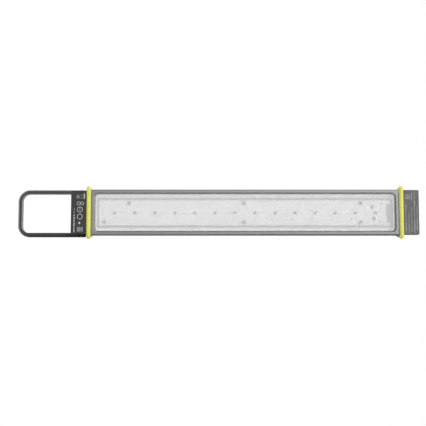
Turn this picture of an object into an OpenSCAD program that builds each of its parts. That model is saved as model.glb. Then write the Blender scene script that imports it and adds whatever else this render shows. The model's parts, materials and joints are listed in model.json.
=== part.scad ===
// Slim rechargeable LED bar work light.
// X runs along the bar, the lens faces -Y, +Z is up, and the origin is the
// middle of the housing. Left is -X, where the handle is. All sizes are
// millimetres.

/* [Housing] */
// Length of the aluminium housing between its end gaskets
housing_l = 446; // [446:1:480]
// Width of the housing across its lit front
housing_w = 67; // [67:0.5:70]
// Depth of the housing from the front of the bezel to its flat back
housing_d = 35; // [35:0.5:38]
// Width of the flat back of the housing
back_w = 51; // [49:0.5:53]
// Depth of the bezel's side skirts
skirt_d = 8.5; // [7:0.5:10]
// Thickness of the bezel's front
bezel_t = 2; // [1.6:0.1:2]

/* [Window] */
// Length of the window at the lens
window_l = 435; // [430:1:436]
// Width of the window at the lens
window_w = 54; // [50:0.5:55]
// Corner radius of the window
window_r = 4.5; // [2:0.5:6]
// Width of the sloping rim around the window
rim_w = 1.9; // [0.5:0.1:2.2]

/* [Bumper rings] */
// Width of a bumper ring along the bar
ring_w = 6.4; // [6:0.1:9]
// Height of a bumper ring
ring_h = 78.2; // [75:0.2:80]
// Depth of a bumper ring
ring_d = 42; // [41:0.5:45]

/* [End caps] */
// Length of an end cap outside its ring
cap_l = 22.6; // [21.5:0.1:26]
// Width of the right end cap
cap_w = 66.6; // [65:0.2:67]
// Thickness of the end walls of the caps
cap_wall = 4; // [4:0.5:5]

/* [Handle] */
// Distance from the handle pivot to the outside of the crossbar
handle_l = 93.9; // [70:0.1:110]
// Outside width of the handle
handle_w = 69.4; // [69:0.1:70]
// Thickness of the handle arms
arm_t = 6; // [5.5:0.1:6]
// Thickness of the handle crossbar
bar_t = 6.3; // [5:0.1:8]
// Depth of the handle bar
bar_d = 12; // [10:0.5:12]
// Outside corner radius of the handle
handle_r = 17; // [12:0.5:20]
// How far the front of the handle bar is set in from its sides
bar_bevel = 3.2; // [1:0.1:3.5]
// Diameter of the pivot screw shank
pivot_d = 5; // [4:0.1:5]

/* [LED board] */
// Pitch of the LED pairs along the board
led_pitch = 31.3; // [28:0.1:31.6]
// Number of LED pairs on each side of the middle
led_pairs = 6; // [3:1:6]

/* [Battery] */
// Diameter of a battery cell
cell_d = 18.4; // [18:0.1:18.5]
// Length of a battery cell
cell_l = 65; // [64:0.5:66]

/* [Controls] */
// Diameter of the power button
button_d = 11; // [9:0.5:12]
// Diameter of the rear magnets
magnet_d = 18; // [14:0.5:18]

/* [Hidden] */

$fn = 48;

// housing faces
front_y = -housing_d / 2;
back_y = housing_d / 2;
half_w = housing_w / 2;
seam_y = front_y + skirt_d;         // rear edge of the bezel skirts
cavity_y = back_y - 2.25;           // just clear of the inside of the back

// stations along X, outwards from the middle
housing_end = housing_l / 2;
gasket_t = 0.5;
ring_x = housing_end + gasket_t;    // inner face of a bumper ring
cap_x = ring_x + ring_w;            // start of the end cap outside its ring
cap_end = cap_x + cap_l;            // outer face of an end cap
magnet_x = cap_end - 10.8;

// stack behind the bezel, front to back
lens_y = front_y + bezel_t + 0.6;   // front of the lens flange
lens_t = 1.5;
frame_y = lens_y + lens_t + 0.1;
board_y = front_y + 8.9;
board_t = 1.6;
pad_y = board_y + board_t;
spreader_y = pad_y + 0.5;
spreader_t = 2;
ledge_y = spreader_y + spreader_t;  // housing ledge behind the spreader
part_gap = 0.02;                    // between a circuit board and its parts

// LED board, with fixings as [x, z]
board_x = [-212.9, 212.3];
board_w = 36.6;
board_l = board_x[1] - board_x[0];
board_mid = (board_x[0] + board_x[1]) / 2;
board_screw_at = [[-169, 14.2], [-1.2, 14.2], [169, 14.2],
    [-204.8, -13.6], [-1.2, -13.6], [169, -13.6]];
pin_at = [[-56.7, 11.6], [79.9, 11.6]];

// end screws at each end, as [y, z]
front_screw = [ledge_y + 3.1, half_w - 9.5];
back_screw = [back_y - 4.9, 21.2];
end_screw_at = [for (side = [-1, 1], screw = [front_screw, back_screw])
    [screw[0], side * screw[1]]];

// handle
pivot_x = -(cap_x + 10.1);
pivot_y = front_y + 22.5;
bar_front = pivot_y - bar_d / 2;
bar_back = pivot_y + bar_d / 2;
arm_out = handle_w / 2;
arm_in = arm_out - arm_t;
core_w = 2 * arm_in - 1.2;          // left cap between the handle arms

// battery cells in the back of the housing
cell_y = back_y - 12.3;
cell_z = 9.4;
cell_x = [-172.9, -106.9];

// control board and what it lines up with in the right end cap
control_y = 3;
control_t = 1.6;
control_x = 118;
standoff_at = [[128, -13], [128, 13], [208, -13], [208, 13]];
usb_y = control_y - 1.67;
usb_z = -9;
button_y = 1.33;
button_z = 12;
pipe_z = 2.3;                       // middle of the light pipe

// port cover hinge
hinge_x = cap_end - 1.4;
hinge_y = usb_y + 8.7;

// ---------------------------------------------------------------- helpers
function unit(v) = v / norm(v);

// the points of one rounded corner, at p between its neighbours
function corner(before, p, after, radius, steps) = radius <= 0 ? [p] :
    let (to_before = unit(before - p),
        to_after = unit(after - p),
        half_angle = acos(max(-1, min(1, to_before * to_after))) / 2,
        centre = p + unit(to_before + to_after) * (radius / sin(half_angle)),
        first = p + to_before * (radius / tan(half_angle)) - centre,
        last = p + to_after * (radius / tan(half_angle)) - centre,
        start = atan2(first[1], first[0]),
        turn = atan2(last[1], last[0]) - start,
        sweep = turn > 180 ? turn - 360 : turn < -180 ? turn + 360 : turn)
    [for (i = [0:steps])
        let (angle = start + sweep * i / steps)
        centre + radius * [cos(angle), sin(angle)]];

// an outline of [first, second, corner radius] rows, with its corners rounded
function rounded(rows, steps) =
    let (count = len(rows), points = [for (row = rows) [row[0], row[1]]])
    [for (i = [0:count - 1]) each corner(points[(i + count - 1) % count],
        points[i], points[(i + 1) % count], rows[i][2], steps)];

// the same, closed by the mirror image of the rows in their second axis
function symmetric(rows, steps) = rounded(concat(rows,
    [for (i = [len(rows) - 1:-1:0]) [rows[i][0], -rows[i][1], rows[i][2]]]),
    steps);

function rounded_rect(length, width, radius, steps = 8) = symmetric(
    [[length / 2, width / 2, radius], [-length / 2, width / 2, radius]], steps);

// the range reaching half either side of the middle
function about(middle, half) = [middle - half, middle + half];

// extrudes a Y,Z outline along X from x0 to x1
module along_x(x0, x1) translate([x0, 0, 0]) rotate([90, 0, 90])
    linear_extrude(x1 - x0) children();

// extrudes an X,Z outline along Y from y0 to y1
module along_y(y0, y1) translate([0, y1, 0]) rotate([90, 0, 0])
    linear_extrude(y1 - y0) children();

// a box given by its ranges in X, Y and Z
module block(x, y, z) translate([x[0], y[0], z[0]])
    cube([x[1] - x[0], y[1] - y[0], z[1] - z[0]]);

// place children with their own +Z turned to +X, to the back or to the front
module facing_right(at) translate(at) rotate([0, 90, 0]) children();
module facing_back(at) translate(at) rotate([-90, 0, 0]) children();
module facing_front(at) translate(at) rotate([90, 0, 0]) children();

// children and their mirror image, top and bottom or left and right
module top_and_bottom() for (k = [0, 1]) mirror([0, 0, k]) children();
module both_ends() for (k = [0, 1]) mirror([k, 0, 0]) children();

module at_end_screws(x) for (p = end_screw_at)
    facing_right([x, p[0], p[1]]) children();

module circles(places, d) for (p = places) translate(p) circle(d = d);

// a box on the front of a circuit board; at and size are in X,Z
module board_part(face_y, at, size, height)
    block(about(at[0], size[0] / 2),
        [face_y - part_gap - height, face_y - part_gap],
        about(at[1], size[1] / 2));

// a hex socket screw with its head up from z = 0 and its shank down
module socket_screw(head_d, head_h, socket_d, socket_z, shank_d, shank_l) {
    difference() {
        cylinder(d = head_d, h = head_h);
        translate([0, 0, socket_z]) cylinder(d = socket_d, h = 2, $fn = 6);
    }
    rotate([180, 0, 0]) cylinder(d = shank_d, h = shank_l);
}

module tube(outer_d, bore_d, length) difference() {
    cylinder(d = outer_d, h = length);
    translate([0, 0, -1]) cylinder(d = bore_d, h = length + 2);
}

// ---------------------------------------------------------------- housing
boss_r = 2.9;
pilot_r = 1.53;
back_groove_d = 0.7;
back_groove_w = 1.8;
back_groove_pitch = 5;
side_groove_w = 1.7;
side_groove_pitch = 4.5;
side_groove_step = 1.36;    // how far each side groove is set in

function housing_outside() = symmetric([
    [front_y + 2.1, half_w - 1.6, 0.3],
    [seam_y + 0.15, half_w - 1.6, 0],
    [seam_y + 0.15, half_w - 0.1, 0.8],
    [back_y, back_w / 2, 5]], 6);

function housing_inside() = symmetric([
    [front_y - 1, half_w - 3.8, 0],
    [ledge_y, half_w - 3.8, 0],
    [ledge_y, half_w - 8.9, 0],
    [ledge_y + 2, half_w - 8.9, 0],
    [ledge_y + 2, half_w - 4.8, 1],
    [back_y - 2.2, back_w / 2 - 1.9, 3]], 4);

module rear_housing() color([0.63, 0.63, 0.64]) difference() {
    cut_x = about(0, housing_end + 1);
    union() {
        along_x(-housing_end, housing_end) difference() {
            polygon(housing_outside());
            polygon(housing_inside());
        }
        // screw bosses along the corners
        at_end_screws(-housing_end) cylinder(r = boss_r, h = housing_l);
    }
    at_end_screws(-housing_end - 1) cylinder(r = pilot_r, h = housing_l + 2);
    // shallow grooves along the flat back and the sides
    for (i = [-3:3])
        block(cut_x, [back_y - back_groove_d, back_y + 1.3],
            about(i * back_groove_pitch, back_groove_w / 2));
    top_and_bottom() for (i = [0:2]) {
        y = seam_y + 4 + i * side_groove_pitch;
        z = half_w - i * side_groove_step;
        block(cut_x, [y, y + side_groove_w], [z - 2.2, z - 0.3]);
    }
}

// the window outline, grown all round
function window(grow = 0) = rounded_rect(window_l + 2 * grow,
    window_w + 2 * grow, window_r + grow);

skirt_t = 1.5;

module front_bezel() color([0.72, 0.72, 0.73]) difference() {
    along_x(-housing_end, housing_end) difference() {
        polygon(symmetric([[front_y, half_w, 2.4], [seam_y, half_w, 0.3]], 6));
        translate([front_y + bezel_t, -(half_w - skirt_t)])
            square([skirt_d, 2 * (half_w - skirt_t)]);
    }
    along_y(front_y - 1, front_y + bezel_t + 1) polygon(window());
    // sloping rim of the window
    hull() {
        along_y(front_y - 0.1, front_y) polygon(window(rim_w));
        along_y(front_y + 1.5, front_y + 1.6) polygon(window());
    }
}

// -------------------------------------------------------------- lens stack
function lens_flange() = rounded_rect(window_l + 4.6, window_w + 3.8, 3);

module lens() color([0.93, 0.94, 0.95, 0.75]) union() {
    along_y(lens_y, lens_y + lens_t) polygon(lens_flange());
    along_y(front_y + 0.6, lens_y) polygon(window(-0.3));
}

module lens_gasket() color([0.12, 0.12, 0.12])
    along_y(front_y + bezel_t + 0.05, lens_y - 0.05) difference() {
        polygon(lens_flange());
        polygon(rounded_rect(window_l + 0.6, window_w + 0.6, window_r));
    }

module reflector_frame() color([0.94, 0.94, 0.93]) union() {
    rear_y = spreader_y - 0.1;
    outer_z = half_w - 5.1;
    inner_z = 22;
    // long sides with a sloping face, then the end bars
    top_and_bottom() along_x(-housing_end + 4, housing_end - 4)
        polygon([[frame_y, outer_z], [frame_y, outer_z - 1.5],
            [frame_y + 4.5, inner_z], [rear_y, inner_z], [rear_y, outer_z]]);
    both_ends() along_y(frame_y, rear_y)
        translate([housing_end - 7.5, -outer_z]) square([3.5, 2 * outer_z]);
}

module led_board() color([0.95, 0.95, 0.94])
    along_y(board_y, board_y + board_t) difference() {
        translate([board_mid, 0])
            polygon(rounded_rect(board_l, board_w, 1.5, 4));
        circles(board_screw_at, 3.4);
        circles(pin_at, 2.6);
    }

led_mid = 0.3;          // middle of the LED rows
led_first = 23;         // from there to the nearest pairs
led_half_gap = 2.6;     // half the distance between the LEDs of a pair

module at_leds() for (side = [-1, 1], i = [0:led_pairs - 1], led = [-1, 1])
    translate([led_mid + side * (led_first + led_pitch * i)
        + led * led_half_gap, board_y - part_gap, 0]) children();

module led_packages() color([0.97, 0.96, 0.9]) at_leds() difference() {
    block(about(0, 1.75), [-0.75, 0], about(0, 1.4));
    facing_front([0, -0.6, 0]) cylinder(d = 2.44, h = 1);
}

module led_phosphors() color([0.95, 0.86, 0.35]) at_leds()
    facing_front([0, -0.62, 0]) cylinder(d = 2.4, h = 0.12);

module board_drivers() color([0.16, 0.16, 0.17]) {
    for (i = [0:13]) board_part(board_y, [-189.8 + 29.27 * i, 0], [4.2, 3], 1.3);
    for (p = [[185.9, 8.7], [188.7, -8.7]]) board_part(board_y, p, [4, 4], 1.2);
}

module board_resistors() color([0.3, 0.3, 0.32]) {
    for (x = [-15.8, 14.9, 39.8, 69, 98.3, 127.5, 155.2])
        board_part(board_y, [x, -9.4], [2.4, 1.3], 0.6);
    for (p = [[197.6, -13.2], [199, 13.4]])
        board_part(board_y, p, [3, 1.6], 0.6);
}

module board_connector() color([0.9, 0.9, 0.87]) difference() {
    mid_z = -0.25;
    block([208.2, 214.2], [board_y - 3.6, board_y - part_gap],
        about(mid_z, 13.05));
    // two recesses in the front
    for (side = [-1, 1]) block([209.6, 213.1], [board_y - 4, board_y - 2.2],
        about(mid_z + side * 6.4, 5.2));
}

module board_screws() color([0.75, 0.75, 0.76])
    for (p = board_screw_at) facing_front([p[0], board_y - 0.03, p[1]])
        socket_screw(head_d = 5.6, head_h = 1.8, socket_d = 2.3,
            socket_z = 0.8, shank_d = 3, shank_l = 4);

module board_locating_pins() color([0.8, 0.8, 0.8])
    for (p = pin_at) facing_back([p[0], board_y - 1, p[1]])
        cylinder(d = 2.5, h = 5);

module thermal_pad() color([0.72, 0.75, 0.8])
    along_y(pad_y, spreader_y) difference() {
        translate([board_mid, 0])
            square([board_l - 3, board_w - 2], center = true);
        circles(board_screw_at, 4);
        circles(pin_at, 3);
    }

module heat_spreader() color([0.42, 0.42, 0.44])
    along_y(spreader_y, ledge_y - 0.02) difference() {
        square([housing_l - 8, 2 * (half_w - 4.3)], center = true);
        circles(board_screw_at, 3.06);
        circles(pin_at, 2.56);
        // slot for the LED leads
        translate([212, -7]) square([2.6, 14]);
    }

// ---------------------------------------------------------------- end caps
pod_r = magnet_d / 2 + 1.3;
tower_r = 3.5;              // around the end screws

// seat under a bumper ring, grown all round
function seat(grow) = symmetric([
    [front_y + 1.3 - grow, half_w - 1.6 + grow, 2.5],
    [back_y - 0.9 + grow, back_w / 2 - 0.7 + grow, 4]], 5);

function hollow() = symmetric([
    [front_y + 4.3, half_w - 4.9, 2],
    [bar_front - 3.5, half_w - 7.8, 0],
    [bar_front - 3.5, half_w - 9.1, 0],
    [back_y - 7, half_w - 9.1, 3],
    [back_y - 2.9, 21.5, 2]], 4);

function cap_half(left) = cap_w / 2 - (left ? 0.8 : 0);

// section of a cap; the left one steps in to clear the handle arms
function cap_section(left) = symmetric(left
    ? [[front_y + 0.3, cap_half(true), 1.5],
        [bar_front - 0.7, cap_half(true) - 3.9, 0.3],
        [bar_front - 0.7, core_w / 2, 0],
        [back_y - 7, core_w / 2, 3],
        [back_y, back_w / 2 - 0.5, 3]]
    : [[front_y + 0.3, cap_w / 2, 1.5],
        [back_y, back_w / 2 - 0.5, 4]], 5);

// cheeks that carry on the line of the handle arms
module cheeks() top_and_bottom() intersection() {
    block([cap_x, cap_x + 3.5], [bar_front, bar_back], [20, arm_out]);
    along_x(cap_x - 1, cap_x + 5) polygon([[bar_front, 19],
        [bar_front, arm_out - bar_bevel], [pivot_y, arm_out],
        [bar_back, arm_out], [bar_back, 19]]);
}

// the inside of a cap, less what is left standing in it
module cap_hollow(left) difference() {
    along_x(ring_x - 1, cap_end - cap_wall) polygon(hollow());
    at_end_screws(0) cylinder(r = tower_r, h = cap_end);
    facing_back([magnet_x, back_y - 4.2, 0]) cylinder(r = pod_r, h = 8);
    // bosses for the handle pivots
    if (left) top_and_bottom() translate([-pivot_x, pivot_y, 15.2])
        cylinder(r = 5.2, h = 20);
}

// an end cap drawn at the right end
module cap_body(left) difference() {
    union() {
        // tapered outer body
        intersection() {
            along_x(cap_x, cap_end) polygon(cap_section(left));
            along_y(front_y - 2, back_y + 5) polygon(symmetric([
                [cap_end, cap_half(left) - 0.8, 1.6],
                [cap_x - 1, cap_half(left) + 0.2, 0]], 6));
        }
        along_x(ring_x, cap_x) polygon(seat(0));
        along_x(ring_x, cap_x + 2) polygon(seat(-2));
        // pod for the rear magnet
        facing_back([magnet_x, back_y - 3, 0]) cylinder(r = pod_r, h = 5.4);
        if (left) cheeks();
    }
    cap_hollow(left);
    // end screw holes and their counterbores
    at_end_screws(0) {
        cylinder(r = 1.65, h = cap_end + 1);
        translate([0, 0, cap_end - 3]) cylinder(r = 3, h = 4);
    }
    facing_back([magnet_x, back_y - 0.7, 0]) cylinder(d = magnet_d + 0.1, h = 8);
}

module left_end_cap() color([0.26, 0.26, 0.27]) difference() {
    mirror([1, 0, 0]) cap_body(left = true);
    at_pivots(15.6) cylinder(d = pivot_d + 0.06, h = 20);
}

// a rounded bar along X, centred on the port
module port_bar(x0, x1, depth, width, radius, steps = 5)
    along_x(x0, x1) translate([usb_y, usb_z])
        polygon(rounded_rect(depth, width, radius, steps));

module right_end_cap() color([0.4, 0.4, 0.41]) difference() {
    inside = cap_end - cap_wall - 1;
    outside = cap_end + 1;
    recess_z = about(usb_z, 8.2);
    cap_body(left = false);
    // power button
    facing_right([inside, button_y, button_z])
        cylinder(d = button_d + 0.1, h = cap_wall + 2);
    // indicator light pipe
    block([inside, outside], about(button_y, 0.95), about(pipe_z, 2.35));
    // port opening, cover recess, lifting notch and hinge
    port_bar(inside, outside, 8, 13, 2);
    block([cap_end - 1.4, outside], [usb_y - 8, hinge_y + 0.5], recess_z);
    block([cap_end - 0.9, outside], [usb_y - 9.6, usb_y - 7],
        about(usb_z, 3.2));
    block([hinge_x - 1.7, outside], [hinge_y - 1.9, hinge_y + 2.4], recess_z);
    translate([hinge_x, hinge_y, usb_z - 9.1]) cylinder(d = 1.52, h = 18.2);
}

module bumper_ring() along_x(ring_x, cap_x) difference() {
    polygon(symmetric([[-ring_d / 2, ring_h / 2, 4],
        [ring_d / 2, ring_h / 2 - 7.4, 4.5]], 8));
    polygon(seat(0.06));
}
module left_bumper_ring() color([0.89, 0.88, 0.35])
    mirror([1, 0, 0]) bumper_ring();
module right_bumper_ring() color([0.89, 0.88, 0.35]) bumper_ring();

module end_gasket() along_x(housing_end + 0.04, ring_x - 0.04) difference() {
    polygon(seat(-1.2));
    polygon(hollow());
    circles(end_screw_at, 3.6);
}
module left_end_gasket() color([0.1, 0.1, 0.1])
    mirror([1, 0, 0]) end_gasket();
module right_end_gasket() color([0.1, 0.1, 0.1]) end_gasket();

cap_screw_x = cap_end - 2.95;   // underside of the screw heads

module cap_screws() at_end_screws(cap_screw_x)
    socket_screw(head_d = 5.6, head_h = 2.4, socket_d = 2.9, socket_z = 1,
        shank_d = 3, shank_l = cap_screw_x - housing_end + 12);
module left_cap_screws() color([0.2, 0.2, 0.21])
    mirror([1, 0, 0]) cap_screws();
module right_cap_screws() color([0.2, 0.2, 0.21]) cap_screws();

// ------------------------------------------------------------------ handle
module at_pivots(z) top_and_bottom() translate([pivot_x, pivot_y, z])
    children();

// a U in X,Z, open past the pivots, from its half width and closed end
function handle_outline(half, end_x, radius) = symmetric(
    [[pivot_x + bar_d, half, 0], [end_x, half, radius]], 12);

// the outside of the handle, set in all round
function handle_outside(inset) = handle_outline(arm_out - inset,
    pivot_x - handle_l + inset, handle_r - inset);

module handle_loop() color([0.29, 0.29, 0.3]) difference() {
    intersection() {
        // full-width back, sloping in towards a narrower front
        hull() {
            along_y(bar_front, bar_front + 0.05)
                polygon(handle_outside(bar_bevel));
            along_y(pivot_y, bar_back - 1) polygon(handle_outside(0));
            along_y(bar_back - 0.05, bar_back) polygon(handle_outside(0.9));
        }
        // rounded arm ends about the pivots
        union() {
            block([pivot_x - handle_l - 1, pivot_x], about(pivot_y, bar_d),
                about(0, handle_w));
            translate([pivot_x, pivot_y, -handle_w])
                cylinder(d = bar_d, h = 2 * handle_w);
        }
    }
    along_y(pivot_y - bar_d, pivot_y + bar_d) polygon(handle_outline(
        arm_in, pivot_x - handle_l + bar_t, handle_r - 6.5));
    // bush holes and screw head recesses
    at_pivots(arm_in - 1) {
        cylinder(d = pivot_d + 2.1, h = arm_t + 2);
        translate([0, 0, arm_t - 1.4]) cylinder(d = 8.4, h = 4);
    }
}

module handle_bushes() color([0.72, 0.58, 0.3])
    at_pivots(arm_in + 0.05) tube(pivot_d + 2, pivot_d + 0.1, arm_t - 2.5);

module handle_friction_washers() color([0.85, 0.84, 0.8])
    at_pivots(core_w / 2 + 0.05) tube(10.2, pivot_d + 0.1, 0.5);

module handle_pivot_screws() color([0.55, 0.55, 0.57])
    at_pivots(0) difference() {
        shank_z = 16;
        union() {
            translate([0, 0, shank_z])
                cylinder(d = pivot_d, h = arm_out - 2 - shank_z);
            translate([0, 0, arm_out - 2.35]) cylinder(d = 8, h = 2.1);
        }
        translate([0, 0, arm_out - 1.6]) cylinder(d = 3.5, h = 3, $fn = 6);
    }

// ----------------------------------------------------------------- battery
tray_x = [-176, -36];
tray_wall = 2.5;
tray_half_w = 17.8;

module battery_cells() color([0.2, 0.42, 0.62])
    for (x = cell_x, side = [-1, 1])
        facing_right([x, cell_y, side * cell_z]) {
            cylinder(d = cell_d, h = cell_l - 0.6);
            // raised contact at the right end
            translate([0, 0, 1]) cylinder(d = 6, h = cell_l - 1);
        }

module battery_tray() color([0.15, 0.15, 0.16]) difference() {
    union() {
        block(tray_x, [back_y - 8, cavity_y], about(0, tray_half_w));
        for (x = [tray_x[0], tray_x[1] - tray_wall])
            block([x, x + tray_wall], [back_y - 21, cavity_y],
                about(0, tray_half_w));
    }
    // cradles between the end walls
    for (side = [-1, 1])
        facing_right([tray_x[0] + tray_wall, cell_y, side * cell_z])
            cylinder(d = cell_d + 0.1, h = tray_x[1] - tray_x[0] - 2 * tray_wall);
}

module battery_tabs() color([0.8, 0.8, 0.78]) {
    // one tab across the left ends, then one per row between and right of them
    block([-173.3, -173.05], about(cell_y, 4), about(0, 13.5));
    for (side = [-1, 1]) {
        block([-107.75, -107.1], about(cell_y, 3), about(side * cell_z, 3));
        block([-41.75, -41.5], about(cell_y, 4), about(side * cell_z, 4));
    }
}

module battery_foam_strips() color([0.25, 0.25, 0.26])
    for (side = [-1, 1])
        block([-170, -45], [ledge_y + 0.02, cell_y - cell_d / 2 - 0.05],
            about(side * cell_z, 3));

module protection_board() color([0.08, 0.35, 0.2]) {
    block([-35.9, -34.7], [cell_y - 8, cell_y + 6], about(0, 15));
    // three parts on its right face
    for (z = [-9, -2, 5])
        block([-34.75, -33.6], about(cell_y + 3, 1.5), about(z, 1.6));
}

// ---------------------------------------------------------------- controls
module control_board() color([0.05, 0.28, 0.16])
    along_y(control_y, control_y + control_t) difference() {
        translate([control_x, -17.5]) square([cap_end - 8.4 - control_x, 35]);
        circles(standoff_at, 2.8);
    }

// box-shaped parts: x, z, length, width, height
control_parts = [
    [170, 0, 7, 7, 1], [150, 8, 5, 6, 1.2], [189, -9, 4, 4, 1],
    [224, -12, 5, 4, 1], [140, -8, 9, 9, 4], [228, 6, 3, 6, 1.4]];

module control_components() color([0.13, 0.13, 0.14]) {
    for (part = control_parts)
        board_part(control_y, [part[0], part[1]], [part[2], part[3]], part[4]);
    // two round parts
    for (z = [-12, 10]) facing_front([180, control_y - part_gap, z])
        cylinder(d = 6.3, h = 5);
}

module control_board_standoffs() color([0.85, 0.84, 0.8]) {
    foot_y = control_y + control_t + 0.03;
    for (p = standoff_at) facing_back([p[0], foot_y, p[1]]) difference() {
        cylinder(d = 6, h = cavity_y - foot_y);
        translate([0, 0, -1]) cylinder(d = 2.56, h = 8);
    }
}

module control_board_screws() color([0.75, 0.75, 0.76])
    for (p = standoff_at) facing_front([p[0], control_y - 0.03, p[1]])
        socket_screw(head_d = 4.6, head_h = 1.6, socket_d = 2,
            socket_z = 0.7, shank_d = 2.5, shank_l = 7);

module usb_c_socket() color([0.78, 0.78, 0.8]) difference() {
    port_bar(cap_end - 11, cap_end - 3.65, 3.26, 8.94, 1.6, 6);
    port_bar(cap_end - 10, cap_end - 3, 2.56, 8.34, 1.25, 6);
}

module usb_c_tongue() color([0.1, 0.1, 0.1])
    block([cap_end - 9.98, cap_end - 4.4], about(usb_y, 0.35),
        about(usb_z, 3.3));

module tactile_switch() color([0.18, 0.18, 0.19]) {
    block([cap_end - 12.5, cap_end - 8.7],
        [control_y - 3.9, control_y - part_gap], about(button_z, 3));
    facing_right([cap_end - 8.8, button_y, button_z]) cylinder(d = 2.4, h = 0.7);
}

module indicator_leds() color([0.85, 0.95, 0.85])
    for (z = [0.6, 2.5, 4.4]) block([cap_end - 9.7, cap_end - 8.5],
        [control_y - 2.3, control_y - part_gap], about(z, 0.6));

module indicator_light_pipe() color([0.9, 0.92, 0.92, 0.7])
    block([cap_end - 7.6, cap_end + 0.1], about(button_y, 0.9),
        about(pipe_z, 2.3));

module power_button() color([0.9, 0.88, 0.35])
    facing_right([cap_end, button_y, button_z]) {
        // body and crowned top
        translate([0, 0, -5]) cylinder(d = button_d, h = 5.6);
        translate([0, 0, 0.6])
            cylinder(d1 = button_d, d2 = button_d - 2, h = 0.6);
        // flange behind the wall, and stem towards the switch
        translate([0, 0, -5.8]) cylinder(d = button_d + 2, h = 1.2);
        translate([0, 0, -7.2]) cylinder(d = 4, h = 2);
    }

module button_seal() color([0.1, 0.1, 0.1])
    facing_right([cap_end - cap_wall - 0.52, button_y, button_z])
        tube(button_d + 3.4, button_d + 0.3, 0.5);

module port_cover() color([0.14, 0.14, 0.15]) difference() {
    union() {
        // flap, lifting tab, plug and hinge barrel
        block([cap_end - 1.35, cap_end], [usb_y - 7.8, hinge_y],
            about(usb_z, 8));
        block([cap_end - 0.85, cap_end], [usb_y - 9.3, usb_y - 7.5],
            about(usb_z, 3));
        port_bar(cap_end - 2.3, cap_end - 1.2, 7.6, 12.6, 1.8);
        translate([hinge_x, hinge_y, usb_z - 8]) cylinder(r = 1.5, h = 16);
    }
    translate([hinge_x, hinge_y, usb_z - 9]) cylinder(d = 1.6, h = 18);
    // hollow in the plug, facing the socket's mouth
    port_bar(cap_end - 4, cap_end - 1.9, 5.4, 10.4, 1.4);
}

module port_cover_pin() color([0.7, 0.7, 0.72])
    translate([hinge_x, hinge_y, usb_z - 9]) cylinder(d = 1.5, h = 18);

// ------------------------------------------------------------------- leads
// a straight round rod between two points
module rod(from, to, radius) {
    span = to - from;
    length = norm(span);
    translate(from) rotate([0, acos(span[2] / length), atan2(span[1], span[0])])
        cylinder(r = radius, h = length, $fn = 16);
}

// a bent lead at height z through [x, y] points: rods joined by larger beads
module lead(path, z, radius) {
    points = [for (p = path) [p[0], p[1], z]];
    for (i = [0:len(points) - 2]) rod(points[i], points[i + 1], radius);
    for (i = [1:len(points) - 2]) translate(points[i])
        sphere(r = radius * 1.12, $fn = 16);
}

// from the protection board to the control board
battery_path = [[-33.2, cell_y - 4], [-28, cell_y - 4], [-28, 11.5],
    [111, 11.5], [111, 0.8], [121.5, 0.8], [121.5, control_y - 0.05]];
// from the LED board to the control board
led_path = [[213.2, board_y + 0.05], [213.2, -0.6], [202, -0.6],
    [202, control_y - 0.05]];

module battery_lead_red() color([0.7, 0.08, 0.06]) lead(battery_path, 6, 0.9);
module battery_lead_black() color([0.08, 0.08, 0.08])
    lead(battery_path, -6, 0.9);
module led_lead_red() color([0.7, 0.08, 0.06]) lead(led_path, 4, 0.7);
module led_lead_black() color([0.08, 0.08, 0.08]) lead(led_path, -4, 0.7);

// ----------------------------------------------------------------- magnets
module at_magnets(y) both_ends() facing_back([magnet_x, y, 0]) children();

module rear_magnets() color([0.75, 0.75, 0.76])
    at_magnets(back_y - 0.65) cylinder(d = magnet_d, h = 3);

module magnet_covers() color([0.12, 0.12, 0.12]) at_magnets(back_y + 2.4) {
    cylinder(d = magnet_d - 0.4, h = 0.7);
    translate([0, 0, 0.05]) cylinder(d = magnet_d + 1.6, h = 1.05);
}

rear_housing();
front_bezel();
lens();
lens_gasket();
reflector_frame();
led_board();
led_packages();
led_phosphors();
board_drivers();
board_resistors();
board_connector();
board_screws();
board_locating_pins();
thermal_pad();
heat_spreader();
left_end_cap();
right_end_cap();
left_bumper_ring();
right_bumper_ring();
left_end_gasket();
right_end_gasket();
left_cap_screws();
right_cap_screws();
handle_loop();
handle_pivot_screws();
handle_bushes();
handle_friction_washers();
battery_cells();
battery_tray();
battery_tabs();
battery_foam_strips();
protection_board();
control_board();
control_components();
control_board_standoffs();
control_board_screws();
usb_c_socket();
usb_c_tongue();
tactile_switch();
indicator_leds();
indicator_light_pipe();
power_button();
button_seal();
port_cover();
port_cover_pin();
battery_lead_red();
battery_lead_black();
led_lead_red();
led_lead_black();
rear_magnets();
magnet_covers();
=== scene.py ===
# A long hand lamp: an aluminium body with a frosted lens, rubber-ringed end caps and a
# handle loop. Its length lies along X, the lens faces -Y (the front) and Z is up.
# The frame is in metres; sizes whose comment says mm are turned into metres with MM.
import json
import math

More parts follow.
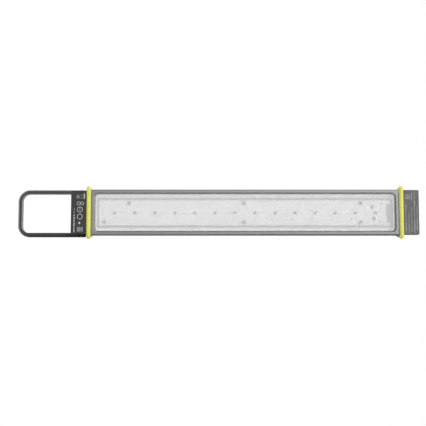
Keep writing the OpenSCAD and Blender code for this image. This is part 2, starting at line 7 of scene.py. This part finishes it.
import bmesh
import bpy
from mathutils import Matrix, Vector

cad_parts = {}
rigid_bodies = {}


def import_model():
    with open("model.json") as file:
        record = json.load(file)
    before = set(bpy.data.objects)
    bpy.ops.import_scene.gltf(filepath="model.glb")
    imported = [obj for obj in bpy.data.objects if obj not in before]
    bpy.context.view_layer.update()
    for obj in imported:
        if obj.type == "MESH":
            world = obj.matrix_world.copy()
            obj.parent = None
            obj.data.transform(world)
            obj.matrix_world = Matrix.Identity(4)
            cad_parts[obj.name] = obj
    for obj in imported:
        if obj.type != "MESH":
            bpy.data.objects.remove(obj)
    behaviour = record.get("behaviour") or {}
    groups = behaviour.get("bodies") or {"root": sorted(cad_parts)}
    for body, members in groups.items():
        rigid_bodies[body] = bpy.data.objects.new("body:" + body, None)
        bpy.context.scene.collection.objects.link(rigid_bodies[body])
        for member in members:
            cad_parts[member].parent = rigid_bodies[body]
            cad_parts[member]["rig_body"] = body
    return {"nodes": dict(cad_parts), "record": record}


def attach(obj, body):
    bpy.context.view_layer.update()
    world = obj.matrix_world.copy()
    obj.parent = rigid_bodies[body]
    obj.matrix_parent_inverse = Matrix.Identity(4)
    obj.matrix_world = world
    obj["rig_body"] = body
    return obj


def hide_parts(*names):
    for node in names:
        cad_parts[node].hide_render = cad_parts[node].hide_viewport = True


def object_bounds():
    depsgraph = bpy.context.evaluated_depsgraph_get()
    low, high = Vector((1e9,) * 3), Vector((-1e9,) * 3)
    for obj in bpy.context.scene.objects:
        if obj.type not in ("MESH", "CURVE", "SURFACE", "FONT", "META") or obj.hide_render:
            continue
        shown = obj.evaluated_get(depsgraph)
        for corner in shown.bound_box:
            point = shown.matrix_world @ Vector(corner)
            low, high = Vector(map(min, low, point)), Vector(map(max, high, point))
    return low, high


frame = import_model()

MM = 0.001
SMOOTH_ANGLE = 35          # degrees; sharper edges stay hard in the shading
CAD_BOX = [list(map(float, corner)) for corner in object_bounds()]
NODES = frame["nodes"]
BODY = {name: node["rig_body"] for name, node in NODES.items()}
SLOT = {part["node"]: part["material_slot"] for part in frame["record"]["subparts"]}
scene = bpy.context.scene


# ---------------------------------------------------------------- node trees
class Nodes:
    """An emptied node tree, with short calls for the nodes used here."""

    def __init__(self, tree):
        self.tree = tree
        for node in list(tree.nodes):
            tree.nodes.remove(node)

    def add(self, kind):
        return self.tree.nodes.new("ShaderNode" + kind)

    def put(self, socket, value):
        """Links a socket, or sets a plain value."""
        if isinstance(value, bpy.types.NodeSocket):
            self.tree.links.new(value, socket)
        else:
            socket.default_value = value

    def feed(self, node, **values):
        """Fills inputs by name, with _ for each space."""
        for name, value in values.items():
            self.put(node.inputs[name.replace("_", " ")], value)
        return node

    def calc(self, operation, first, second):
        node = self.add("Math")
        node.operation = operation
        self.put(node.inputs[0], first)
        self.put(node.inputs[1], second)
        return node.outputs[0]

    def span(self, value, over=(0.3, 0.7), to=(0.0, 1.0), ease="LINEAR"):
        """Maps one range to another, clamped. The default input range suits a noise."""
        node = self.add("MapRange")
        node.interpolation_type = ease
        self.feed(node, Value=value, From_Min=over[0], From_Max=over[1],
                  To_Min=to[0], To_Max=to[1])
        return node.outputs["Result"]

    def mix_shaders(self, factor, first, second):
        node = self.add("MixShader")
        for socket, value in zip(node.inputs, (factor, first, second)):
            self.put(socket, value)
        return node.outputs[0]


class Material(Nodes):
    """A Principled material textured in object coordinates."""

    def __init__(self, name):
        self.mat = bpy.data.materials.new(name)
        self.mat.use_nodes = True
        super().__init__(self.mat.node_tree)
        self.out = self.add("OutputMaterial")
        self.bsdf = self.add("BsdfPrincipled")
        self.feed(self.out, Surface=self.bsdf.outputs["BSDF"])
        self.coords = self.add("TexCoord")

    def set(self, **values):
        self.feed(self.bsdf, **values)

    def scaled(self, scale):
        node = self.feed(self.add("Mapping"), Vector=self.coords.outputs["Object"], Scale=scale)
        return node.outputs["Vector"]

    def noise(self, scale, detail=3.0, rough=0.55, stretch=(1, 1, 1), distort=0.0):
        node = self.feed(self.add("TexNoise"), Vector=self.scaled(stretch), Scale=scale,
                         Detail=detail, Roughness=rough, Distortion=distort)
        return node.outputs["Fac"]

    def voronoi(self, scale):
        node = self.feed(self.add("TexVoronoi"), Vector=self.scaled((1, 1, 1)), Scale=scale)
        return node.outputs["Distance"]

    def mix(self, factor, first, second, mode="MIX"):
        node = self.add("Mix")
        node.data_type = "RGBA"
        node.blend_type = mode
        self.put(node.inputs["Factor"], factor)
        # The colour sockets share their names with other types, so they go by index.
        self.put(node.inputs[6], first)
        self.put(node.inputs[7], second)
        return node.outputs[2]

    def mottle(self, pattern, colour, vary):
        """A colour that a pattern darkens and lightens by the share vary."""
        return self.mix(self.span(pattern), shade(colour, 1 - vary), shade(colour, 1 + vary))

    def edges(self, radius):
        """1 on edges, within a radius in metres, and 0 on flats."""
        bevel = self.add("Bevel")
        bevel.samples = 4
        self.feed(bevel, Radius=radius)
        geometry = self.add("NewGeometry")
        dot = self.add("VectorMath")
        dot.operation = "DOT_PRODUCT"
        self.put(dot.inputs[0], bevel.outputs["Normal"])
        self.put(dot.inputs[1], geometry.outputs["Normal"])
        return self.span(self.calc("SUBTRACT", 1.0, dot.outputs["Value"]), over=(0.02, 0.35))

    def bump(self, *layers):
        """Chains (height, depth in metres) layers into the surface normal."""
        normal = None
        for height, depth in layers:
            node = self.feed(self.add("Bump"), Strength=1.0, Distance=depth, Height=height)
            if normal is not None:
                self.feed(node, Normal=normal)
            normal = node.outputs["Normal"]
        self.set(Normal=normal)


def shade(colour, gain, lift=0.0):
    return tuple(min(1, channel * gain + lift) for channel in colour[:3]) + (1.0,)


# ----------------------------------------------------------------- materials
def moulded(name, colour, rough=0.5, grain=2600, depth=0.00004, vary=0.18, wear=0.35, spec=0.5):
    """Moulded plastic: fine grain, faint cloudy variation, paler worn edges."""
    m = Material(name)
    base = m.mottle(m.noise(38, detail=4, rough=0.6), colour, vary)
    scuff = m.calc("MULTIPLY", m.edges(radius=0.0007),
                   m.span(m.noise(170, detail=4), over=(0.35, 0.7)))
    base = m.mix(m.calc("MULTIPLY", scuff, wear), base, shade(colour, 2.2, lift=0.05))
    grit = m.noise(grain, detail=2, rough=0.6)
    pit = m.voronoi(grain * 0.55)
    roughness = m.calc("ADD", m.span(m.noise(90), to=(rough - 0.06, rough + 0.06)),
                       m.calc("MULTIPLY", scuff, -0.08))
    m.set(Base_Color=base, Roughness=roughness, Specular_IOR_Level=spec)
    m.bump((grit, depth), (pit, depth * 0.8))
    return m.mat


def rubber(name, colour, rough=0.55, vary=0.08, sheen=0.25, scatter=0.0, dirt=0.3):
    """Moulded elastomer: soft sheen, fine matt grain and scattered darker marks."""
    m = Material(name)
    base = m.mottle(m.noise(55, detail=4, rough=0.6), colour, vary)
    marks = m.span(m.noise(420, detail=5, rough=0.7, distort=0.6), over=(0.62, 0.78))
    base = m.mix(m.calc("MULTIPLY", marks, dirt * 0.35), base, shade(colour, 0.62))
    m.set(Base_Color=base, Roughness=m.span(m.noise(130), to=(rough - 0.07, rough + 0.07)),
          Specular_IOR_Level=0.4, Sheen_Weight=sheen, Sheen_Roughness=0.5)
    if scatter:
        m.set(Subsurface_Weight=scatter, Subsurface_Scale=0.0015,
              Subsurface_Radius=(1.0, 0.8, 0.25))
    m.bump((m.noise(3200, detail=2, rough=0.6), 0.00003),
           (m.noise(700, detail=2, rough=0.5), 0.00002))
    return m.mat


def anodised(name, colour, rough=0.36, grain=(6, 900, 900), wear=0.3):
    """Anodised or rolled aluminium: fine lengthwise grain, faint drag lines, bright edges."""
    streak = 0.1               # how far the drag lines darken the metal
    m = Material(name)
    fine = m.noise(1.0, detail=4, rough=0.65, stretch=grain)
    wide = m.noise(1.0, rough=0.6, stretch=(grain[0] * 0.4, grain[1] * 0.12, grain[2] * 0.12))
    base = m.mottle(fine, colour, streak * 0.6)
    base = m.mix(m.span(wide, over=(0.35, 0.65), to=(0.0, 0.5)), base, shade(colour, 1 - streak))
    base = m.mix(m.calc("MULTIPLY", m.edges(radius=0.0005), wear), base, shade(colour, 1.3))
    m.set(Base_Color=base, Metallic=1.0,
          Roughness=m.calc("ADD", m.span(fine, to=(rough - 0.05, rough + 0.05)),
                           m.span(wide, to=(-0.03, 0.03))))
    m.bump((fine, 0.000006), (m.noise(2500, detail=2), 0.000004))
    return m.mat


def steel(name, colour, rough=0.28):
    """Bright metal with a very fine grain and small dull patches."""
    m = Material(name)
    grain = m.noise(1800, rough=0.6)
    patch = m.noise(240, detail=4, rough=0.6)
    m.set(Base_Color=m.mix(m.span(patch, over=(0.35, 0.7)), colour, shade(colour, 0.72)),
          Metallic=1.0, Roughness=m.span(grain, to=(rough - 0.08, rough + 0.12)))
    m.bump((grain, 0.00001))
    return m.mat


def board(name, colour, rough=0.35):
    """Circuit board: solder mask over a faint brick-like weave."""
    m = Material(name)
    weave = m.feed(m.add("TexBrick"), Vector=m.scaled((1, 1, 1)), Scale=60, Mortar_Size=0.03,
                   Color1=(1, 1, 1, 1), Color2=(0.92, 0.92, 0.92, 1),
                   Mortar=(0.84, 0.84, 0.84, 1))
    base = m.mix(1.0, colour, weave.outputs["Color"], mode="MULTIPLY")
    base = m.mix(m.span(m.noise(80), to=(0, 0.4)), base, shade(colour, 0.93))
    m.set(Base_Color=base, Roughness=m.span(m.noise(600), to=(rough - 0.05, rough + 0.08)))
    m.bump((weave.outputs["Fac"], 0.00001), (m.noise(1500, detail=2), 0.000005))
    return m.mat


def frosted(name, milk):
    """Frosted sheet: a milky face toward -Y, with every other face fully clear.
    milk is the mean opacity of that face."""
    m = Material(name)
    normal = m.feed(m.add("SeparateXYZ"), Vector=m.coords.outputs["Normal"])
    face = m.span(normal.outputs["Y"], over=(-0.75, -0.5), to=(1.0, 0.0))
    haze = m.noise(60, rough=0.5)
    fine = m.noise(1600, detail=2, rough=0.5)
    opacity = m.calc("ADD", m.span(haze, to=(milk - 0.01, milk + 0.01)),
                     m.span(fine, over=(0.35, 0.65), to=(-0.006, 0.006)))
    m.set(Base_Color=m.mix(m.span(haze), (0.76, 0.763, 0.767, 1), (0.785, 0.785, 0.783, 1)),
          Roughness=m.span(m.noise(140), to=(0.42, 0.5)), IOR=1.49,
          Specular_IOR_Level=0.4, Alpha=m.calc("MULTIPLY", face, opacity))
    m.bump((m.noise(2400, detail=2, rough=0.5), 0.000006), (m.noise(300, detail=2), 0.00001))
    return m.mat


def clear(name, colour):
    """Clear plastic with faintly uneven gloss."""
    m = Material(name)
    m.set(Base_Color=m.mix(m.span(m.noise(300, detail=2)), colour, shade(colour, 0.95)),
          Roughness=m.span(m.noise(700), to=(0.08, 0.16)), IOR=1.49, Transmission_Weight=0.9)
    m.bump((m.noise(900, detail=2), 0.00001))
    return m.mat


def ink(name, colour):
    """Pad-printed ink: thin and slightly broken up."""
    m = Material(name)
    cover = m.span(m.noise(2300, rough=0.6), over=(0.42, 0.6))
    m.set(Base_Color=m.mix(cover, shade(colour, 0.55), colour),
          Roughness=m.span(m.noise(900, detail=2), to=(0.5, 0.65)))
    m.bump((m.noise(2600, detail=2), 0.00002))
    return m.mat


def foam(name, colour):
    """Matt open-celled foam."""
    m = Material(name)
    cells = m.voronoi(1800)
    m.set(Base_Color=m.mix(m.span(cells, over=(0.1, 0.6)), shade(colour, 0.6), colour),
          Roughness=0.85, Sheen_Weight=0.2)
    m.bump((cells, 0.0001))
    return m.mat


IVORY = dict(colour=(0.72, 0.7, 0.62, 1), grain=2200, depth=0.00002, vary=0.04, wear=0.1)
CAP = dict(rough=0.46, grain=1700, depth=0.00007)
YELLOW = dict(colour=(0.76, 0.745, 0.14, 1), rough=0.5, vary=0.05, sheen=0.2, scatter=0.12)

# slot name: (maker, its options); colours are linear RGBA
RECIPES = {
    "housing_aluminium": (anodised, dict(colour=(0.46, 0.46, 0.465, 1), rough=0.4, wear=0.15)),
    "bezel_aluminium": (anodised, dict(colour=(0.275, 0.275, 0.277, 1), rough=0.38, wear=0.1)),
    "frosted_lens": (frosted, dict(milk=0.36)),
    "black_rubber": (rubber, dict(colour=(0.022, 0.022, 0.023, 1), rough=0.6, sheen=0.15)),
    "white_plastic": (moulded, dict(colour=(0.80, 0.80, 0.795, 1), rough=0.45, grain=1800,
                                    depth=0.00002, vary=0.03, wear=0.0)),
    "board_white": (board, dict(colour=(0.87, 0.87, 0.865, 1))),
    "led_white": (moulded, dict(colour=(0.9, 0.89, 0.82, 1), rough=0.3, grain=3000,
                                depth=0.00001, vary=0.03, wear=0.0)),
    "led_phosphor": (moulded, dict(colour=(0.88, 0.75, 0.22, 1), rough=0.35, grain=4000,
                                   depth=0.00002, vary=0.08, wear=0.0)),
    "chip_black": (moulded, dict(colour=(0.05, 0.05, 0.052, 1), rough=0.42, grain=3000,
                                 depth=0.00002, vary=0.15, wear=0.3)),
    "ivory_plastic": (moulded, dict(IVORY, rough=0.42)),
    "bright_steel": (steel, dict(colour=(0.62, 0.62, 0.63, 1))),
    "thermal_pad": (rubber, dict(colour=(0.42, 0.47, 0.55, 1), rough=0.7, vary=0.05)),
    "dark_aluminium": (anodised, dict(colour=(0.3, 0.3, 0.31, 1), rough=0.5,
                                      grain=(10, 500, 500))),
    "cap_plastic": (moulded, dict(CAP, colour=(0.024, 0.024, 0.025, 1), vary=0.16, wear=0.5)),
    # Painted light: this lighter grey copy of the cap plastic, on the right end cap, stands in
    # for the light falling on it from the right.
    "cap_plastic_grey": (moulded, dict(CAP, colour=(0.112, 0.112, 0.114, 1), vary=0.12,
                                       wear=0.4)),
    "yellow_rubber": (rubber, dict(YELLOW, dirt=0.5)),
    "black_steel": (steel, dict(colour=(0.08, 0.08, 0.085, 1), rough=0.38)),
    "handle_plastic": (moulded, dict(colour=(0.028, 0.028, 0.029, 1), rough=0.29, grain=1900,
                                     depth=0.00003, vary=0.14, wear=0.6, spec=0.6)),
    "bush_brass": (steel, dict(colour=(0.72, 0.5, 0.2, 1), rough=0.3)),
    "nylon": (moulded, dict(IVORY, rough=0.4)),
    "cell_wrap": (moulded, dict(colour=(0.03, 0.16, 0.42, 1), rough=0.3, grain=1200,
                                depth=0.00001, vary=0.06, wear=0.2)),
    "tray_plastic": (moulded, dict(colour=(0.025, 0.025, 0.026, 1))),
    "nickel": (steel, dict(colour=(0.68, 0.66, 0.6, 1), rough=0.25)),
    "foam": (foam, dict(colour=(0.05, 0.05, 0.055, 1))),
    "board_green": (board, dict(colour=(0.01, 0.13, 0.05, 1), rough=0.3)),
    "clear_plastic": (clear, dict(colour=(0.9, 0.93, 0.93, 1))),
    "yellow_button": (rubber, dict(YELLOW, dirt=0.4)),
    "lead_red": (rubber, dict(colour=(0.45, 0.015, 0.01, 1), rough=0.4)),
    "lead_black": (rubber, dict(colour=(0.012, 0.012, 0.012, 1), rough=0.4)),
    "magnet_plating": (steel, dict(colour=(0.66, 0.65, 0.63, 1), rough=0.15)),
}
MATERIALS = {name: make(name, **options) for name, (make, options) in RECIPES.items()}
INK = ink("pad_print", (0.66, 0.66, 0.67, 1))
INK_DIM = ink("pad_print_dim", (0.48, 0.48, 0.50, 1))

# Four nodes look different from the rest of their slot.
MATERIAL_OF = {name: MATERIALS[SLOT[name]] for name in NODES}
MATERIAL_OF["board_screws"] = steel("dull_zinc", (0.2, 0.2, 0.205, 1), rough=0.5)
MATERIAL_OF["lens_gasket"] = rubber("gasket_grey", (0.13, 0.13, 0.14, 1), rough=0.6, sheen=0.15)
# Painted light: the right end gasket is a pale taupe grey that stands in for the light falling
# on the right end.
MATERIAL_OF["right_end_gasket"] = rubber("painted_lit_gasket", (0.34, 0.335, 0.30, 1), rough=0.6,
                                         sheen=0.15)
MATERIAL_OF["board_connector"] = moulded("connector_nylon", (0.22, 0.235, 0.215, 1), rough=0.42,
                                         grain=2200, depth=0.00002, vary=0.04, wear=0.1)


def paint(node, material):
    """Gives a node one material, in object-linked slots so its mesh data stays as loaded."""
    if not node.material_slots:
        node.data.materials.append(material)
    for slot in node.material_slots:
        slot.link = "OBJECT"
        slot.material = material


for name, node in NODES.items():
    paint(node, MATERIAL_OF[name])


# -------------------------------------------------------------------- meshes
def new_object(name, bm):
    """Turns a bmesh into an object in the scene."""
    mesh = bpy.data.meshes.new(name)
    bm.to_mesh(mesh)
    bm.free()
    piece = bpy.data.objects.new(name, mesh)
    scene.collection.objects.link(piece)
    return piece


def sharper_than(edge, degrees):
    return len(edge.link_faces) == 2 and edge.calc_face_angle(0) > math.radians(degrees)


def smooth_by_angle(mesh):
    bm = bmesh.new()
    bm.from_mesh(mesh)
    for face in bm.faces:
        face.smooth = True
    for edge in bm.edges:
        edge.smooth = not sharper_than(edge, SMOOTH_ANGLE)
    bm.to_mesh(mesh)
    bm.free()


def add_piece(name, bm, material, body):
    piece = new_object(name, bm)
    piece.data.materials.append(material)
    smooth_by_angle(piece.data)
    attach(piece, body)
    return piece


def clean_copy(node):
    """The node's mesh with doubles merged and flat faces dissolved."""
    bm = bmesh.new()
    bm.from_mesh(NODES[node].data)
    bmesh.ops.remove_doubles(bm, verts=bm.verts, dist=2e-6)
    bmesh.ops.dissolve_limit(bm, angle_limit=math.radians(0.3),
                             verts=bm.verts, edges=bm.edges, delimit=set())
    return bm


def refine(node, width, segments, angle, keep=None, clamp=True):
    """Replaces a CAD node with a copy whose edges sharper than angle (degrees) are
    rounded over by width (mm). Edges for which keep(edge) is False stay sharp."""
    bm = clean_copy(node)
    chosen = [edge for edge in bm.edges
              if sharper_than(edge, angle) and (keep is None or keep(edge))]
    if chosen:
        bmesh.ops.bevel(bm, geom=chosen, offset=width * MM, offset_type="OFFSET",
                        segments=segments, profile=0.5, affect="EDGES",
                        clamp_overlap=clamp, material=-1, harden_normals=False)
    bmesh.ops.remove_doubles(bm, verts=bm.verts, dist=1e-6)
    piece = add_piece(node + "_finished", bm, MATERIAL_OF[node], BODY[node])
    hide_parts(node)
    weighted = piece.modifiers.new("weighted", "WEIGHTED_NORMAL")
    weighted.keep_sharp = True


# Limits (mm) of the opening in a bumper ring; its half height narrows toward the back.
RING_FRONT_Y, RING_BACK_Y = -18.4, 18.8
OPENING_HALF_Z, OPENING_Y, OPENING_TAPER = 35.2, -18.6, 0.18


def ring_outside(edge):
    """True for edges round the outside of a bumper ring, not those of its opening."""
    for vert in edge.verts:
        y, z = vert.co.y / MM, abs(vert.co.z) / MM
        half_z = OPENING_HALF_Z - OPENING_TAPER * (y - OPENING_Y)
        if not (y < RING_FRONT_Y or y > RING_BACK_Y or z > half_z):
            return False
    return True


END_CAP = dict(width=0.6, segments=3, angle=30)
BUMPER = dict(width=3.0, segments=8, angle=50, keep=ring_outside, clamp=False)
SCREWS = dict(width=0.15, segments=2, angle=40)
COVER = dict(width=0.3, segments=3, angle=40)

for node, rounding in {
    "front_bezel": dict(width=0.35, segments=2, angle=24),
    "rear_housing": dict(width=0.25, segments=2, angle=30),
    "left_end_cap": END_CAP,
    "right_end_cap": END_CAP,
    "left_bumper_ring": BUMPER,
    "right_bumper_ring": BUMPER,
    "handle_loop": dict(width=0.7, segments=4, angle=24),
    "lens": dict(width=0.35, segments=3, angle=50),
    "port_cover": COVER,
    "power_button": dict(width=0.3, segments=3, angle=30),
    "magnet_covers": COVER,
    "handle_pivot_screws": SCREWS,
    "left_cap_screws": SCREWS,
    "right_cap_screws": SCREWS,
}.items():
    refine(node, **rounding)

# ------------------------------------------------------------- printed marks
# All sizes and places are in mm. The ink lies between these two Y, on the front.
PRINT_FRONT, PRINT_BACK = -17.235, -17.19
CORNER_STEPS = 3


def slab(bm, outline):
    """A thin prism of ink with its outline in (X, Z)."""
    front = [bm.verts.new((x * MM, PRINT_FRONT * MM, z * MM)) for x, z in outline]
    back = [bm.verts.new((x * MM, PRINT_BACK * MM, z * MM)) for x, z in outline]
    bm.faces.new(front)
    bm.faces.new(list(reversed(back)))
    for i in range(len(outline)):
        j = (i + 1) % len(outline)
        bm.faces.new((front[j], front[i], back[i], back[j]))


def bar(bm, x, z, width, height, radius=0.12):
    """A rectangle centred on (x, z) with rounded corners."""
    radius = min(radius, width / 2.1, height / 2.1)
    outline = []
    for quarter, (side_x, side_z) in enumerate(((1, 1), (-1, 1), (-1, -1), (1, -1))):
        for i in range(CORNER_STEPS + 1):
            turn = math.radians(90 * quarter + 90 * i / CORNER_STEPS)
            outline.append((x + (side_x * (width / 2 - radius) + radius * math.cos(turn)),
                            z + (side_z * (height / 2 - radius) + radius * math.sin(turn))))
    slab(bm, outline)


def hoop(bm, x, z, outer, inner, steps=28):
    """A flat circular line between two radii."""
    rings = []
    for radius, y in ((outer, PRINT_FRONT), (inner, PRINT_FRONT),
                      (inner, PRINT_BACK), (outer, PRINT_BACK)):
        turns = [2 * math.pi * i / steps for i in range(steps)]
        rings.append([bm.verts.new(((x + radius * math.cos(turn)) * MM, y * MM,
                                    (z + radius * math.sin(turn)) * MM)) for turn in turns])
    for k in range(4):
        ring, following = rings[k], rings[(k + 1) % 4]
        for i in range(steps):
            j = (i + 1) % steps
            bm.faces.new((ring[i], ring[j], following[j], following[i]))


def print_left(bright, dim):
    """Dashes, circles and plain blocks on the left end."""
    # a column of dashes near the end, the last two thin
    z = -29.0
    for i, length in enumerate((4.2, 2.6, 5.0, 3.0, 3.6, 2.2, 4.4, 2.8)):
        width, radius = (1.5, 0.3) if i < 6 else (0.5, 0.2)
        bar(bright, -247.8, z + length / 2, width, length, radius)
        z += length + 1.0
    # two large circles, the upper with a stroke in it, and two small ones above
    for z in (-6.2, 4.0):
        hoop(bright, -239.6, z, outer=4.1, inner=3.3, steps=36)
    bar(bright, -239.6, 4.0, 0.7, 3.0)
    for x in (-241.4, -236.4):
        hoop(bright, x, 13.0, outer=2.6, inner=1.9)
    # a square outline, a pair of short rules and a solid block
    square_x, square_z = -242.4, 23.0
    for offset in (-1.9, 1.9):
        bar(bright, square_x, square_z + offset, 3.4, 0.6)
        bar(bright, -237.6, square_z + offset, 2.6, 0.5)
    for offset in (-1.4, 1.4):
        bar(bright, square_x + offset, square_z, 0.6, 3.4)
    bar(bright, -233.4, 23.5, 1.9, 7.6, radius=0.2)
    # a small lozenge
    x, z, reach = -240.2, -15.4, 2.0
    slab(bright, [(x - reach, z), (x, z - reach), (x + reach, z), (x, z + reach)])
    # a row of dim upright strokes
    for i, height in enumerate((7.2, 6.0, 7.2, 5.4, 7.2)):
        bar(dim, -242.6 + 1.7 * i, -24.6, 1.0, height, radius=0.15)


# x, dash width, (start, end) in Z of each run
DASH_COLUMNS = (
    (233.5, 0.8, ((-29.5, -14), (-12.5, 0), (1.5, 12))),
    (237.7, 0.8, ((-29.5, -17), (-15.5, -1))),
    (241.9, 0.8, ((-28, -12), (-10.5, 8), (17, 28))),
    (246.0, 1.0, ((-29, -10), (-8.5, 6), (7.5, 18), (19.5, 29))),
    (249.6, 0.9, ((-26, -8), (-6.5, 9.5))),
)
DASH_PITCH, DASH_LENGTH = 1.7, 1.15


def print_right(bright, dim):
    """A circle and columns of dashes on the right end, every second run dim."""
    hoop(bright, 236.2, 22.6, outer=3.3, inner=2.7, steps=32)
    bar(bright, 236.2, 22.6, 0.6, 2.8)
    for x, width, runs in DASH_COLUMNS:
        for i, (start, end) in enumerate(runs):
            z = start
            while z < end - 0.6:
                bar(dim if i % 2 else bright, x, z + 0.55, width, DASH_LENGTH)
                z += DASH_PITCH


for name, draw in (("left_print", print_left), ("right_print", print_right)):
    bright, dim = bmesh.new(), bmesh.new()
    draw(bright, dim)
    add_piece(name, bright, INK, "lamp")
    add_piece(name + "_fine", dim, INK_DIM, "lamp")

# -------------------------------------------------------------------- render
scene.view_settings.view_transform = "Standard"
scene.view_settings.look = "None"
scene.view_settings.exposure = 0.0
scene.view_settings.gamma = 1.0
scene.cycles.use_denoising = True
scene.cycles.denoising_input_passes = "RGB"

# --------------------------------------------------------------------- floor
FLOOR_GAP = 0.0002
FLOOR_HALF_SIZE = 6.0


def floor_card():
    """Pale matt card, transparent from below."""
    m = Material("floor_card")
    m.set(Base_Color=m.mix(m.span(m.noise(3)), (0.86, 0.86, 0.86, 1), (0.9, 0.9, 0.9, 1)),
          Roughness=0.8, Specular_IOR_Level=0.2)
    geometry = m.add("NewGeometry")
    hole = m.add("BsdfTransparent")
    m.feed(m.out, Surface=m.mix_shaders(geometry.outputs["Backfacing"], m.bsdf.outputs[0],
                                        hole.outputs[0]))
    return m.mat


def add_floor():
    bm = bmesh.new()
    bmesh.ops.create_grid(bm, x_segments=8, y_segments=8, size=FLOOR_HALF_SIZE)
    floor = new_object("floor", bm)
    floor.location = (0, 0, CAD_BOX[0][2] - FLOOR_GAP)
    floor.data.materials.append(floor_card())


add_floor()

# --------------------------------------------------------------------- world
# Light by direction. Each gain scales a 0..1 falloff and each base is added to it.
FRONT_POWER, FRONT_GAIN, FRONT_BASE = 1.5, 0.93, 0.66   # strongest square on to the lens
SIDE_GAIN, SIDE_BASE = 1.28, 0.42                       # brighter to the right
BACKDROP = 1.05                                         # white behind the lamp
ABOVE_GAIN, ABOVE_BASE = 0.62, 0.38                     # dimmer below the horizon


def add_world():
    """White to the camera, a soft studio gradient to everything else."""
    world = bpy.data.worlds.new("studio")
    scene.world = world
    world.use_nodes = True
    w = Nodes(world.node_tree)

    def fade(value, low, high):
        return w.span(value, over=(low, high), ease="SMOOTHSTEP")

    def gain_base(value, gain, base):
        return w.calc("ADD", w.calc("MULTIPLY", value, gain), base)

    out = w.add("OutputWorld")
    coords = w.add("TexCoord")
    split = w.feed(w.add("SeparateXYZ"), Vector=coords.outputs["Generated"])
    x, y, z = (split.outputs[axis] for axis in "XYZ")

    ahead = w.calc("MAXIMUM", w.calc("MULTIPLY", y, -1.0), 0.0)
    front = gain_base(w.calc("POWER", ahead, FRONT_POWER), FRONT_GAIN, FRONT_BASE)
    front = w.calc("MULTIPLY", front, gain_base(fade(x, -0.35, 0.45), SIDE_GAIN, SIDE_BASE))
    # the backdrop fades out toward the top
    back = w.calc("MULTIPLY", fade(y, -0.05, 0.35),
                  w.calc("SUBTRACT", 1.0, fade(z, 0.45, 0.75)))
    above = fade(z, -0.08, 0.01)
    light = w.calc("ADD", w.calc("MULTIPLY", front, w.calc("SUBTRACT", 1.0, back)),
                   w.calc("MULTIPLY", back, BACKDROP))
    light = w.calc("MULTIPLY", light, gain_base(above, ABOVE_GAIN, ABOVE_BASE))

    soft = w.add("Background")
    grey = w.feed(w.add("CombineColor"), Red=light, Green=light, Blue=light)
    w.feed(soft, Color=grey.outputs[0], Strength=1.0)
    white = w.feed(w.add("Background"), Color=(1, 1, 1, 1), Strength=1.0)
    path = w.add("LightPath")
    w.feed(out, Surface=w.mix_shaders(path.outputs["Is Camera Ray"], soft.outputs[0],
                                      white.outputs[0]))


add_world()

# --------------------------------------------------------------------- light
LIGHT_AZIMUTH = math.radians(170)      # from straight in front, round to the right
LIGHT_ELEVATION = math.radians(50)
LIGHT_DISTANCE = 1.8


def add_back_light():
    """A soft light high behind the lamp, aimed at its origin."""
    data = bpy.data.lights.new("back_top", "AREA")
    data.shape = "RECTANGLE"
    data.size, data.size_y = 1.4, 0.9
    data.energy = 3
    light = bpy.data.objects.new("back_top", data)
    place = (LIGHT_DISTANCE * math.sin(LIGHT_AZIMUTH) * math.cos(LIGHT_ELEVATION),
             -LIGHT_DISTANCE * math.cos(LIGHT_AZIMUTH) * math.cos(LIGHT_ELEVATION),
             LIGHT_DISTANCE * math.sin(LIGHT_ELEVATION))
    light.location = place
    light.rotation_euler = (-Vector(place)).to_track_quat("-Z", "Y").to_euler()
    scene.collection.objects.link(light)
    light.visible_camera = False


add_back_light()

# -------------------------------------------------------------------- camera
CAMERA_ELEVATION = math.radians(-5.3)
CAMERA_DISTANCE = 1.2
CAMERA_TARGET = Vector((-0.0464, -0.0175, -0.0010))
VIEW_WIDTH = 0.6177                    # width seen at the target
SENSOR_WIDTH = 36.0                    # mm


def add_camera():
    """Square on to the lens and a little below it."""
    data = bpy.data.cameras.new("camera")
    camera = bpy.data.objects.new("camera", data)
    scene.collection.objects.link(camera)
    outward = Vector((0, -math.cos(CAMERA_ELEVATION), math.sin(CAMERA_ELEVATION)))
    camera.location = CAMERA_TARGET + outward * CAMERA_DISTANCE
    camera.rotation_mode = "QUATERNION"
    camera.rotation_quaternion = (CAMERA_TARGET - camera.location).to_track_quat("-Z", "Y")
    data.sensor_width = SENSOR_WIDTH
    data.lens = SENSOR_WIDTH / (VIEW_WIDTH / CAMERA_DISTANCE)
    data.clip_start, data.clip_end = 0.01, 50
    scene.camera = camera


add_camera()

bpy.context.view_layer.update()
